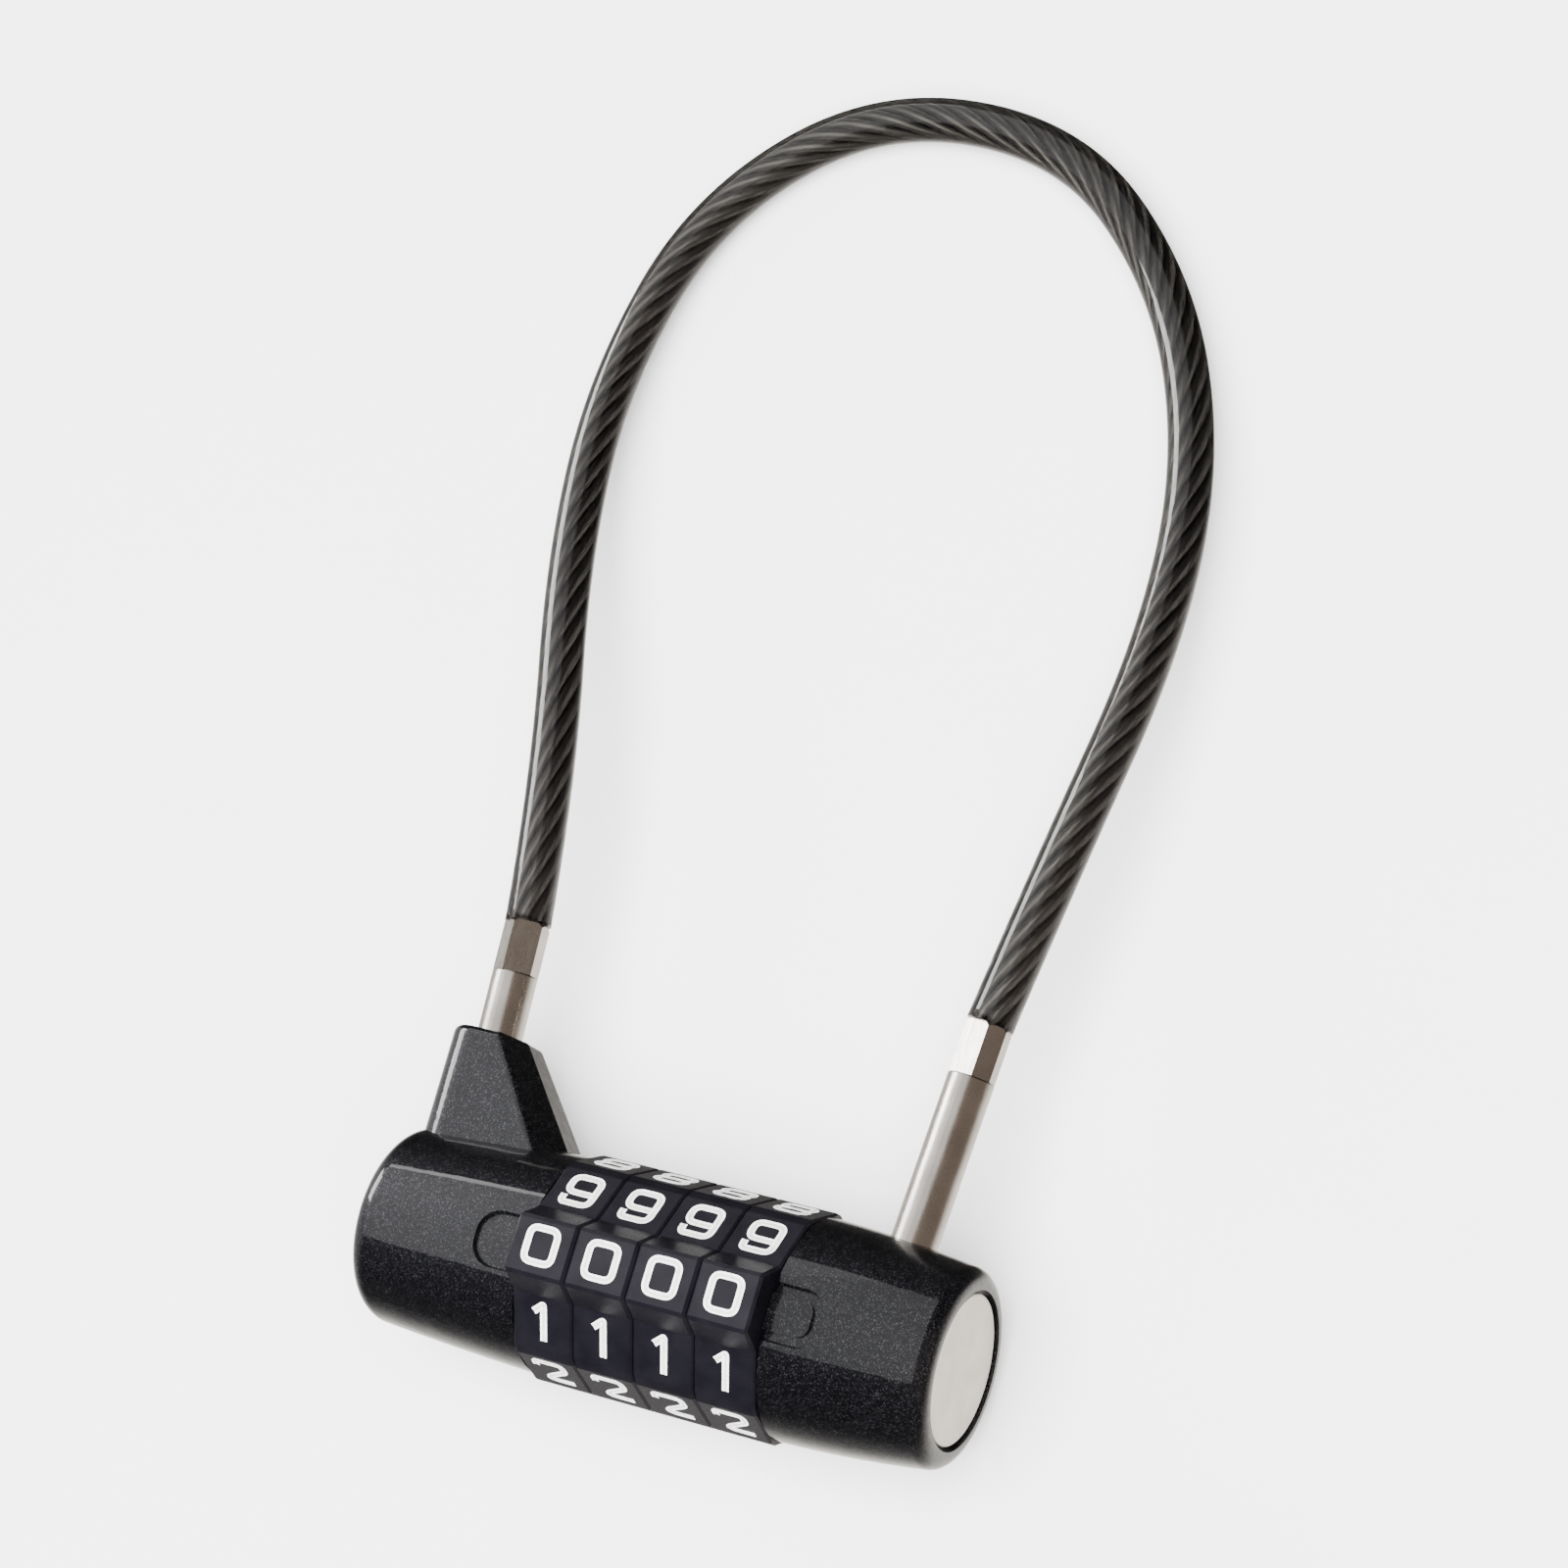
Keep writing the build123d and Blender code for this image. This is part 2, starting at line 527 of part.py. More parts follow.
def main():
    os.makedirs("parts", exist_ok=True)
    pieces = {
        "left_housing": left_housing(),
        "right_housing": right_housing(),
        "core_sleeve": core_sleeve(),
        "sleeve_pin_left": sleeve_pin(-SLEEVE_PIN_X),
        "sleeve_pin_right": sleeve_pin(SLEEVE_PIN_X),
        "detent_leaf": detent_leaf(),
        "spindle": spindle(),
        "locking_plate": locking_plate(),
        "plate_rivet": plate_rivet(),
        "lock_button": lock_button(),
        "button_snap_ring": button_snap_ring(),
        "return_spring": return_spring(),
        "fixed_end_pin": fixed_end_pin(),
        "fixed_end_cross_pin": fixed_end_cross_pin(),
        "free_end_pin": free_end_pin(),
    }
    dial, code = dial_ring(), code_ring()
    for index in range(DIAL_COUNT):
        place = Pos(dial_centre(index), 0, 0)
        pieces[f"dial_ring_{index + 1}"] = place * dial
        pieces[f"code_ring_{index + 1}"] = place * code
    for name, shape in pieces.items():
        solid = save(shape, name)
        box = solid.bounding_box()
        low = [round(v, 2) for v in box.min]
        high = [round(v, 2) for v in box.max]
        print(name, round(solid.volume, 1), low, high, len(solid.solids()))
    rope, jacket = cable()
    for name, shape in (("wire_rope", rope), ("cable_jacket", jacket)):
        shape.label = name
        export_step(shape, os.path.join("parts", name + ".step"))
        print(name, shape.bounding_box())


main()
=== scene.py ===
"""Looks for the combination cable padlock: jacketed wire rope, inlaid digits, materials, light and camera.

Lengths are metres in the row frame: +X along the body to the button, +Y towards the shackle loop,
+Z up out of the index row. MM turns millimetres into metres.
"""

import json
import math

import bmesh
import bpy
from mathutils import Matrix, Vector


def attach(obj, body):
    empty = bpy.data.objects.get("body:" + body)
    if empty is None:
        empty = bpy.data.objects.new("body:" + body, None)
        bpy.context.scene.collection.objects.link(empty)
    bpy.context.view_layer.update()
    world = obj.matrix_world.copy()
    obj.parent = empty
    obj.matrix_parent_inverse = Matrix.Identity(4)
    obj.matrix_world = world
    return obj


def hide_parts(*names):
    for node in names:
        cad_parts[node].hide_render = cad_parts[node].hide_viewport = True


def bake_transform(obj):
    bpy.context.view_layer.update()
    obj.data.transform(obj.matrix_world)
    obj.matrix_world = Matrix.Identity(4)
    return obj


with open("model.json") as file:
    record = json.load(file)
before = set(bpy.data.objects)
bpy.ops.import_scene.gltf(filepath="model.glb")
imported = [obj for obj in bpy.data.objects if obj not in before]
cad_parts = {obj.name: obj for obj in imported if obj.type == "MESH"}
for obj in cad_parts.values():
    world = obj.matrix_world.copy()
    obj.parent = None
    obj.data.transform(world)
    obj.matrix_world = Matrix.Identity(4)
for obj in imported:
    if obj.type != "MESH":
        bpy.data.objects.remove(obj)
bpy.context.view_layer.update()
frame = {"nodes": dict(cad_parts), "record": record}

MM = 0.001

# ---- dials, as in the CAD
DIAL_COUNT = 4
DIAL_X = 1.85 * MM               # middle of the row of dials
DIAL_PITCH = 7.0 * MM
DIAL_APOTHEM = 11.75 * MM
ZERO_PAD_RISE = 3.0 * MM         # the pad of digit 0 stands this far above the others
DIGIT_STEP = math.radians(36)
AXIS_Y = -4.92 * MM              # the axis that the dials turn on
AXIS_Z = 11.75 * MM

# ---- digits, in the plane of a number pad
DIGIT_HALF_WIDTH = 1.60 * MM     # to the middle of a stroke
DIGIT_HALF_HEIGHT = 1.92 * MM
DIGIT_STROKE = 0.76 * MM
DIGIT_LIFT = 0.2 * MM            # up the pad from its middle
DIGIT_CORNER = 0.95 * MM
SHARP_CORNER = 0.1 * MM
CORNER_STEPS = 6
ZERO_HEIGHT = 0.92               # the digit on the proud pad is lower than the others
INLAY_PROUD = 0.045 * MM
INLAY_DISH = 0.035 * MM          # the paint sinks this much along the middle of a stroke
INLAY_DEEP = 0.15 * MM
LAYER_LIFT = 0.003 * MM          # a digit's second stroke lies this much above its first
RIBBON_SPOTS = (0.0, 0.0, 0.5, 1.0, 1.0)   # where each corner of a stroke's section lies across it
MITRE_LIMIT = 0.5                # a stroke grows to twice its width at most on a sharp turn
SAME_POINT = 1e-9

# ---- cable: the route's corners, from the fixed end round to the free end
CABLE_START = (-0.029195, 0.029813, 0.01175)
CABLE_END = (0.025925, 0.029813, 0.01175)
CABLE_LOOP = [
    (-0.0315, 0.0460, 0.01175),
    (-0.0406, 0.0730, 0.0077),
    (-0.0443, 0.0960, 0.0044),
    (-0.0397, 0.1192, 0.0026),
    (-0.0218, 0.1343, 0.00255),
    (0.0027, 0.1327, 0.00255),
    (0.0193, 0.1170, 0.0026),
    (0.0284, 0.0967, 0.0043),
    (0.0311, 0.0745, 0.0075),
    (0.0284, 0.0475, 0.01175),
]
ROUTE_SAMPLES = 40               # points per corner of the route
JACKET_RADIUS = 2.55 * MM
JACKET_STEP = 1.0 * MM
JACKET_SIDES = 40
STRAND_COUNT = 6
STRAND_RADIUS = 0.58 * MM
STRAND_ORBIT = 1.12 * MM
STRAND_LAY = 22.0 * MM           # length of cable for one full turn of a strand
STRAND_SIDES = 14
CORE_RADIUS = STRAND_ORBIT - STRAND_RADIUS * 0.9   # the core reaches a little way into the strands
CORE_SIDES = 12
ROPE_STEP = 0.6 * MM
ROPE_INSET = 1.0 * MM            # how far the rope reaches past each end of the jacket
WIRES_PER_STRAND = 6
LINES_PER_WIRE = 30.0            # fine lines drawn in the share of a strand that one wire takes

# ---- paint
FLAKES_PER_METRE = 8800.0

# ---- camera
CAMERA_AT = (0.161335, -0.030380, 0.358854)
CAMERA_RIGHT = (0.890066, 0.280106, -0.359614)
CAMERA_UP = (-0.173219, 0.937580, 0.301561)
CAMERA_LENS = 84.06
CAMERA_SENSOR = 36.0
CAMERA_CLIP = (0.01, 20)

# ---- surroundings
BELOW_COLOUR = (1.9, 1.82, 1.70, 1)
FLOOR_SIZE = 6
FLOOR_Z = -0.0001
LIGHTS = [
    # name, place, aim, size, watts, seen in reflections
    ("softbox", (-0.60, 0.43, 0.60), (-0.60, 0.43, 0.0), (0.64, 1.6), 4.2, True),
    ("softbox_dim", (-0.08, 0.43, 0.60), (-0.08, 0.43, 0.0), (0.40, 1.6), 1.9, True),
    ("side_box", (-0.96, 0.36, 0.40), (-0.03, 0.06, 0.01), (0.46, 0.42), 9.0, True),
    ("side_strip", (-0.68, 0.78, 0.45), (-0.01, 0.10, 0.01), (0.7, 0.07), 0.6, True),
    ("overhead", (0.1, -0.2, 0.9), (0, 0.05, 0), (1.2, 1.2), 72.0, False),
]


# ---- node helpers
def new_material(name):
    """A new node material, its node tree and its Principled shader."""
    material = bpy.data.materials.new(name)
    material.use_nodes = True
    tree = material.node_tree
    return material, tree, tree.nodes["Principled BSDF"]


def node(tree, kind, **settings):
    """New node. Each setting is the value of an input of that name, or else a property."""
    made = tree.nodes.new(kind)
    for key, value in settings.items():
        if key in made.inputs:
            made.inputs[key].default_value = value
        else:
            setattr(made, key, value)
    return made


def object_coordinates(tree, scale=(1, 1, 1)):
    """Object coordinates, in metres unless scaled."""
    source = node(tree, "ShaderNodeTexCoord")
    mapping = node(tree, "ShaderNodeMapping")
    mapping.inputs["Scale"].default_value = scale
    tree.links.new(source.outputs["Object"], mapping.inputs["Vector"])
    return mapping.outputs["Vector"]


def coordinate_parts(tree, kind):
    """X, Y and Z of one kind of texture coordinate, as separate sockets."""
    source = node(tree, "ShaderNodeTexCoord")
    split = node(tree, "ShaderNodeSeparateXYZ")
    tree.links.new(source.outputs[kind], split.inputs["Vector"])
    return [split.outputs[axis] for axis in "XYZ"]


def noise(tree, vector, scale, detail=2.0, roughness=0.5):
    made = node(tree, "ShaderNodeTexNoise", Scale=scale, Detail=detail, Roughness=roughness)
    tree.links.new(vector, made.inputs["Vector"])
    return made.outputs["Fac"]


def cell_colours(tree, vector, scale):
    """Red, green and blue of a colour that is random from cell to cell, as separate sockets."""
    made = node(tree, "ShaderNodeTexVoronoi", Scale=scale)
    tree.links.new(vector, made.inputs["Vector"])
    split = node(tree, "ShaderNodeSeparateColor")
    tree.links.new(made.outputs["Color"], split.inputs["Color"])
    return [split.outputs[part] for part in ("Red", "Green", "Blue")]


def maths(tree, operation, *terms):
    """Result of a Math node whose terms are sockets or plain numbers."""
    made = node(tree, "ShaderNodeMath", operation=operation)
    for socket, term in zip(made.inputs, terms):
        if isinstance(term, bpy.types.NodeSocket):
            tree.links.new(term, socket)
        else:
            socket.default_value = term
    return made.outputs[0]


def ramp(tree, factor, stops):
    """Colour ramp through (position, grey or colour) stops."""
    made = node(tree, "ShaderNodeValToRGB")
    elements = made.color_ramp.elements
    while len(elements) < len(stops):
        elements.new(0.5)
    for element, (position, colour) in zip(elements, stops):
        element.position = position
        tone = (colour,) * 3 if isinstance(colour, float) else colour
        element.color = (*tone, 1)
    tree.links.new(factor, made.inputs["Fac"])
    return made.outputs["Color"]


def spread(tree, factor, low, high):
    """From one grey or colour to another over the middle of the factor's range."""
    return ramp(tree, factor, [(0.3, low), (0.7, high)])


def multiplied(tree, first, second):
    made = node(tree, "ShaderNodeMix", data_type="RGBA", blend_type="MULTIPLY")
    made.inputs["Factor"].default_value = 1.0
    tree.links.new(first, made.inputs["A"])
    tree.links.new(second, made.inputs["B"])
    return made.outputs["Result"]


def bump(tree, height, strength, distance, normal=None):
    """Bumped normal, on top of another one where it's given."""
    made = node(tree, "ShaderNodeBump", Strength=strength, Distance=distance)
    tree.links.new(height, made.inputs["Height"])
    if normal is not None:
        tree.links.new(normal, made.inputs["Normal"])
    return made.outputs["Normal"]


# ---- materials
def flake_paint():
    """Black metallic paint with fine silver flakes under clear lacquer."""
    material, tree, shader = new_material("flake_paint")
    link = tree.links.new
    place = object_coordinates(tree)
    brightness, tilt, _ = cell_colours(tree, place, FLAKES_PER_METRE)
    colour = ramp(tree, brightness, [
        (0.0, (0.004, 0.004, 0.005)), (0.60, (0.008, 0.008, 0.010)),
        (0.88, (0.024, 0.024, 0.029)), (1.0, (0.062, 0.062, 0.071))])
    link(colour, shader.inputs["Base Color"])
    rough = spread(tree, noise(tree, place, scale=900.0, detail=3.0), 0.36, 0.48)
    link(rough, shader.inputs["Roughness"])
    shader.inputs["Metallic"].default_value = 0.8
    peel = bump(tree, noise(tree, place, scale=420.0), strength=0.04, distance=0.0002)
    flakes = bump(tree, tilt, strength=0.11, distance=0.00003, normal=peel)
    link(flakes, shader.inputs["Normal"])
    link(peel, shader.inputs["Coat Normal"])
    shader.inputs["Coat Weight"].default_value = 1.0
    shader.inputs["Coat Roughness"].default_value = 0.035
    return material


def dial_plastic():
    """Fine matte black moulding with a faint purple tint."""
    material, tree, shader = new_material("dial_plastic")
    link = tree.links.new
    place = object_coordinates(tree)
    grain = noise(tree, place, scale=5200.0, detail=3.0, roughness=0.65)
    tone = noise(tree, place, scale=380.0, detail=4.0)
    colour = spread(tree, tone, (0.003, 0.0027, 0.0045), (0.0055, 0.005, 0.0075))
    link(colour, shader.inputs["Base Color"])
    link(spread(tree, grain, 0.34, 0.50), shader.inputs["Roughness"])
    link(bump(tree, grain, strength=0.15, distance=0.00004), shader.inputs["Normal"])
    shader.inputs["Specular IOR Level"].default_value = 0.36
    return material


def digit_white():
    """White paint dished in an engraved stroke, with painted shade along the stroke's dished middle, so
    that it shows paler at the stroke's two edges.
    """
    material, tree, shader = new_material("digit_white")
    link = tree.links.new
    place = object_coordinates(tree)
    across, _, _ = coordinate_parts(tree, "UV")
    # painted shade: the middle of each stroke is darkened to 0.6 for the shade of its dish
    shade = ramp(tree, across, [
        (0.0, 1.0), (0.24, 0.97), (0.36, 0.60), (0.64, 0.60), (0.76, 0.97), (1.0, 1.0)])
    wear = noise(tree, place, scale=1500.0, detail=4.0)
    paint = ramp(tree, wear, [(0.30, (0.74, 0.73, 0.71)), (0.55, (0.95, 0.945, 0.93))])
    link(multiplied(tree, paint, shade), shader.inputs["Base Color"])
    link(spread(tree, wear, 0.42, 0.56), shader.inputs["Roughness"])
    brushed = noise(tree, place, scale=4200.0)
    link(bump(tree, brushed, strength=0.18, distance=0.00004), shader.inputs["Normal"])
    return material


def turned_metal(name, dark, light, roughness, along=(1, 1, 1), strength=0.10):
    """Plated or machined metal whose fine lines run along the direction of least scale."""
    material, tree, shader = new_material(name)
    link = tree.links.new
    lines = noise(tree, object_coordinates(tree, along), scale=2400.0, detail=3.0, roughness=0.6)
    stain = noise(tree, object_coordinates(tree), scale=260.0, detail=4.0, roughness=0.6)
    link(spread(tree, stain, dark, light), shader.inputs["Base Color"])
    link(spread(tree, lines, roughness - 0.05, roughness + 0.07), shader.inputs["Roughness"])
    link(bump(tree, lines, strength, distance=0.00005), shader.inputs["Normal"])
    shader.inputs["Metallic"].default_value = 1.0
    return material


def button_metal():
    """Satin nickel disc, finely blasted."""
    material, tree, shader = new_material("button_metal")
    link = tree.links.new
    place = object_coordinates(tree)
    grain = noise(tree, place, scale=4200.0, detail=3.0, roughness=0.7)
    tone = noise(tree, place, scale=350.0, detail=4.0)
    link(spread(tree, tone, (0.78, 0.735, 0.67), (0.88, 0.845, 0.78)), shader.inputs["Base Color"])
    link(spread(tree, grain, 0.40, 0.56), shader.inputs["Roughness"])
    link(bump(tree, grain, strength=0.35, distance=0.00006), shader.inputs["Normal"])
    shader.inputs["Metallic"].default_value = 0.85
    return material


def strand_steel():
    """Drawn steel with lines along the strand, so fine that they blur into a soft sheen. The lines are
    bumped, and their colour is painted shade in the grooves and painted glints on the crests.
    """
    material, tree, shader = new_material("strand_steel")
    link = tree.links.new
    turns, run, _ = coordinate_parts(tree, "UV")
    lines = maths(tree, "MULTIPLY", turns, LINES_PER_WIRE)
    slanted = maths(tree, "ADD", lines, run)
    phase = maths(tree, "MULTIPLY", slanted, WIRES_PER_STRAND * math.pi)
    ridge = maths(tree, "ABSOLUTE", maths(tree, "SINE", phase))
    # painted shade in the grooves between the lines and painted glints on their crests: dark to pale steel
    # along the ridge
    colour = ramp(tree, ridge, [
        (0.05, (0.045, 0.042, 0.038)), (0.60, (0.10, 0.095, 0.088)), (0.96, (0.28, 0.266, 0.243))])
    link(colour, shader.inputs["Base Color"])
    link(ramp(tree, ridge, [(0.1, 0.50), (0.9, 0.28)]), shader.inputs["Roughness"])
    link(bump(tree, ridge, strength=0.14, distance=0.00008), shader.inputs["Normal"])
    shader.inputs["Metallic"].default_value = 1.0
    return material


def smoke_jacket():
    """Smoke-tinted clear vinyl with slight waviness."""
    material, tree, shader = new_material("smoke_jacket")
    link = tree.links.new
    place = object_coordinates(tree)
    haze = noise(tree, place, scale=160.0, detail=3.0)
    tint = spread(tree, haze, (0.115, 0.112, 0.113), (0.15, 0.146, 0.142))
    link(tint, shader.inputs["Base Color"])
    rough = spread(tree, noise(tree, place, scale=1400.0, detail=3.0), 0.03, 0.09)
    link(rough, shader.inputs["Roughness"])
    link(bump(tree, haze, strength=0.12, distance=0.0006), shader.inputs["Normal"])
    shader.inputs["Transmission Weight"].default_value = 1.0
    shader.inputs["IOR"].default_value = 1.5
    return material


def floor_paper():
    """Plain pale paper."""
    material, tree, shader = new_material("floor_paper")
    link = tree.links.new
    place = object_coordinates(tree)
    tone = noise(tree, place, scale=30.0, detail=4.0)
    link(spread(tree, tone, (0.90, 0.90, 0.90), (0.92, 0.92, 0.92)), shader.inputs["Base Color"])
    tooth = noise(tree, place, scale=900.0)
    link(bump(tree, tooth, strength=0.03, distance=0.0002), shader.inputs["Normal"])
    shader.inputs["Roughness"].default_value = 0.9
    shader.inputs["Specular IOR Level"].default_value = 0.2
    return material


# ---- objects
def mesh_object(name, bm, look):
    """Object made of the finished bmesh in one material, its faces turned outwards."""
    bmesh.ops.recalc_face_normals(bm, faces=bm.faces)
    mesh = bpy.data.meshes.new(name)
    bm.to_mesh(mesh)
    bm.free()
    made = bpy.data.objects.new(name, mesh)
    bpy.context.scene.collection.objects.link(made)
    made.data.materials.append(look)
    return made


# ---- cable
def route_points():
    """Points of the cable's centre line, read from a NURBS spline drawn by the route's corners."""
    curve = bpy.data.curves.new("cable_route", "CURVE")
    curve.dimensions = "3D"
    curve.resolution_u = ROUTE_SAMPLES
    spline = curve.splines.new("NURBS")
    corners = [CABLE_START, *CABLE_LOOP, CABLE_END]
    spline.points.add(len(corners) - 1)
    for point, corner in zip(spline.points, corners):
        point.co = (*corner, 1)
    spline.order_u = 3
    spline.use_endpoint_u = True
    holder = bpy.data.objects.new("cable_route", curve)
    mesh = bpy.data.meshes.new_from_object(holder)
    found = [v.co.copy() for v in mesh.vertices]
    bpy.data.objects.remove(holder)
    bpy.data.curves.remove(curve)
    bpy.data.meshes.remove(mesh)
    return found


def distances(points):
    """Distance along the line to each of its points."""
    out = [0.0]
    for a, b in zip(points, points[1:]):
        out.append(out[-1] + (b - a).length)
    return out


def evenly(points, spacing):
    """The same line with its points about a given distance apart."""
    lengths = distances(points)
    count = max(2, round(lengths[-1] / spacing))
    out, seg = [], 0
    for i in range(count + 1):
        want = lengths[-1] * i / count
        while seg < len(points) - 2 and lengths[seg + 1] < want:
            seg += 1
        span = lengths[seg + 1] - lengths[seg]
        share = (want - lengths[seg]) / span if span else 0.0
        out.append(points[seg].lerp(points[seg + 1], min(1.0, share)))
    return out


def frames(points):
    """Tangent and two normals at each point, carried along without twist."""
    tangents = []
    for i in range(len(points)):
        a, b = points[max(0, i - 1)], points[min(len(points) - 1, i + 1)]
        tangents.append((b - a).normalized())
    normal = tangents[0].cross(Vector((0, 0, 1))).normalized()
    out = []
    for i, tangent in enumerate(tangents):
        if i:
            normal = tangents[i - 1].rotation_difference(tangent) @ normal
        normal = (normal - tangent * normal.dot(tangent)).normalized()
        out.append((tangent, normal, tangent.cross(normal)))
    return out


def around(u, v, angle):
    """Unit vector at an angle in the plane of two normals."""
    return u * math.cos(angle) + v * math.sin(angle)


def tube(name, points, radius, sides, look):
    """Closed round tube along the points, with UVs: turns around, then length in metres."""
    bm = bmesh.new()
    uv = bm.loops.layers.uv.new("run")
    run = distances(points)
    rings = []
    for point, (_, u, v) in zip(points, frames(points)):
        angles = [2 * math.pi * k / sides for k in range(sides)]
        rings.append([bm.verts.new(point + around(u, v, angle) * radius) for angle in angles])
    for i in range(len(rings) - 1):
        for k in range(sides):
            n = (k + 1) % sides
            face = bm.faces.new((rings[i][k], rings[i][n], rings[i + 1][n], rings[i + 1][k]))
            face.smooth = True
            runs = (run[i], run[i], run[i + 1], run[i + 1])
            turns = (k / sides, (k + 1) / sides, (k + 1) / sides, k / sides)
            for loop, length, turn in zip(face.loops, runs, turns):
                loop[uv].uv = (turn, length)
    bm.faces.new(list(reversed(rings[0])))
    bm.faces.new(rings[-1])
    return mesh_object(name, bm, look)


def strand_line(points, phase):
    """Centre line of one strand: a right-hand helix round the cable's own line."""
    out = []
    for point, run, (_, u, v) in zip(points, distances(points), frames(points)):
        angle = phase + 2 * math.pi * run / STRAND_LAY
        out.append(point + around(u, v, angle) * STRAND_ORBIT)
    return out


def extended(points, reach):
    """The line with a straight piece of the given length added at each end."""
    first = points[0] + (points[0] - points[1]).normalized() * reach
    last = points[-1] + (points[-1] - points[-2]).normalized() * reach
    return [first, *points, last]


def across_loop(piece):
    """Bake the piece's place into its mesh."""
    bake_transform(piece)


def build_cable(jacket_look, steel_look):
    """Jacket, rope core and six strands along the cable's route, in place of the CAD cable jacket and wire
    rope.
    """
    line = route_points()
    path = evenly(line, JACKET_STEP)
    jacket = tube("jacket", path, JACKET_RADIUS, JACKET_SIDES, jacket_look)
    rope_path = evenly(extended(line, ROPE_INSET), ROPE_STEP)
    core = tube("rope_core", rope_path, CORE_RADIUS, CORE_SIDES, steel_look)
    strands = [core]
    for k in range(STRAND_COUNT):
        route = strand_line(rope_path, 2 * math.pi * k / STRAND_COUNT)
        strands.append(tube(f"rope_strand_{k + 1}", route, STRAND_RADIUS, STRAND_SIDES, steel_look))
    for strand in strands:
        across_loop(strand)
    across_loop(jacket)
    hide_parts("cable_jacket")
    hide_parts("wire_rope")


# ---- digits
def rounded(corners, radius, closed):
    """Polyline through the corners with each turn rounded, as 2-D points."""
    nearly_half = 0.49
    out, count = [], len(corners)
    for i, corner in enumerate(corners):
        here = Vector(corner)
        if not closed and i in (0, count - 1):
            out.append(here)
            continue
        before, after = Vector(corners[i - 1]), Vector(corners[(i + 1) % count])
        back, on = (before - here), (after - here)
        half = back.angle(on) / 2
        reach = min(radius / math.tan(half), back.length * nearly_half, on.length * nearly_half)
        a, b = here + back.normalized() * reach, here + on.normalized() * reach
        for step in range(CORNER_STEPS + 1):
            t = step / CORNER_STEPS
            out.append(a * (1 - t) ** 2 + here * 2 * t * (1 - t) + b * t**2)
    return out


def glyph_strokes():
    """Middle lines of each digit's strokes: (corners, corner radius, closed)."""
    a, b = DIGIT_HALF_WIDTH, DIGIT_HALF_HEIGHT
    soft, sharp = DIGIT_CORNER, SHARP_CORNER
    foot = -b - DIGIT_STROKE / 2     # lower end of an open stroke
    side = a + DIGIT_STROKE / 2      # outer end of an open stroke
    hook = b - 1.05 * MM             # how low the curled ends of 2, 3, 5, 6 and 9 come
    waist = 0.36 * MM                # height of the bar of 6
    belly = 0.25 * MM                # height of the bar of 5
    bar = -0.85 * MM                 # height of the bar of 4
    stem, post = 0.2 * MM, 0.75 * MM   # the upright strokes of 1 and 4
    flag = 0.95 * MM                 # how far the stroke of 1 reaches back, and its height there
    nick = -0.5 * MM                 # inner end of the bar of 3, foot of 7
    join = -0.3 * MM                 # where the two strokes of 5 meet
    neck = 0.02 * MM                 # height of the waist of 8
    slope, bend = 0.5 * MM, 0.7 * MM   # top of the slope of 2, and the rounding of its corners
    six = [(a, hook), (a, b), (-a, b), (-a, -b), (a, -b), (a, waist), (-a, waist)]
    return {
        0: [([(-a, -b), (a, -b), (a, b), (-a, b)], soft, True)],
        1: [([(-flag, flag), (stem, b), (stem, foot)], sharp, False)],
        2: [([(-a, hook), (-a, b), (a, b), (a, slope), (-a, -b), (side, -b)], bend, False)],
        3: [([(-a, hook), (-a, b), (a, b), (a, 0), (nick, 0)], soft, False),
            ([(nick, 0), (a, 0), (a, -b), (-a, -b), (-a, -hook)], soft, False)],
        4: [([(post, foot), (post, b), (-a, bar), (side, bar)], sharp, False)],
        5: [([(a, b), (-a, b), (-a, belly), (join, belly)], sharp, False),
            ([(join, belly), (a, belly), (a, -b), (-a, -b), (-a, -hook)], soft, False)],
        6: [(six, soft, False)],
        7: [([(-side, b), (a, b), (nick, foot)], sharp, False)],
        8: [([(-a, neck), (a, neck), (a, b), (-a, b)], soft, True),
            ([(-a, -b), (a, -b), (a, neck), (-a, neck)], soft, True)],
        9: [([(-x, -y) for x, y in six], soft, False)],
    }


def stroke_side(line, index, closed):
    """Half a stroke's width, square to the line at one of its points and longer on a turn."""
    point, last = line[index], len(line) - 1
    before = line[index - 1] if closed or index else line[0] * 2 - line[1]
    after = line[(index + 1) % len(line)] if closed or index < last else line[-1] * 2 - line[-2]
    first, second = (point - before), (after - point)
    first = first.normalized() if first.length > SAME_POINT else second.normalized()
    second = second.normalized() if second.length > SAME_POINT else first
    middle = (first + second).normalized()
    side = Vector((-middle.y, middle.x))
    square = Vector((-first.y, first.x))
    return side * (DIGIT_STROKE / 2 / max(MITRE_LIMIT, side.dot(square)))


def add_stroke(bm, uv, line, closed, top, place):
    """Raised ribbon along a 2-D line, dished along its middle, put where the place matrix says."""
    rings = []
    for i, point in enumerate(line):
        side = stroke_side(line, i, closed)
        left, right = point + side, point - side
        ring = [(left, -INLAY_DEEP), (left, top), (point, top - INLAY_DISH), (right, top),
                (right, -INLAY_DEEP)]
        rings.append([bm.verts.new(place @ Vector((p.x, p.y, z))) for p, z in ring])
    count, corners = len(rings), len(RIBBON_SPOTS)
    for i in range(count if closed else count - 1):
        a, b = rings[i], rings[(i + 1) % count]
        for k, spot in enumerate(RIBBON_SPOTS):
            n = (k + 1) % corners
            face = bm.faces.new((a[k], a[n], b[n], b[k]))
            next_spot = RIBBON_SPOTS[n]
            for loop, across in zip(face.loops, (spot, next_spot, next_spot, spot)):
                loop[uv].uv = (across, 0)
    if not closed:
        bm.faces.new(rings[0])
        bm.faces.new(list(reversed(rings[-1])))


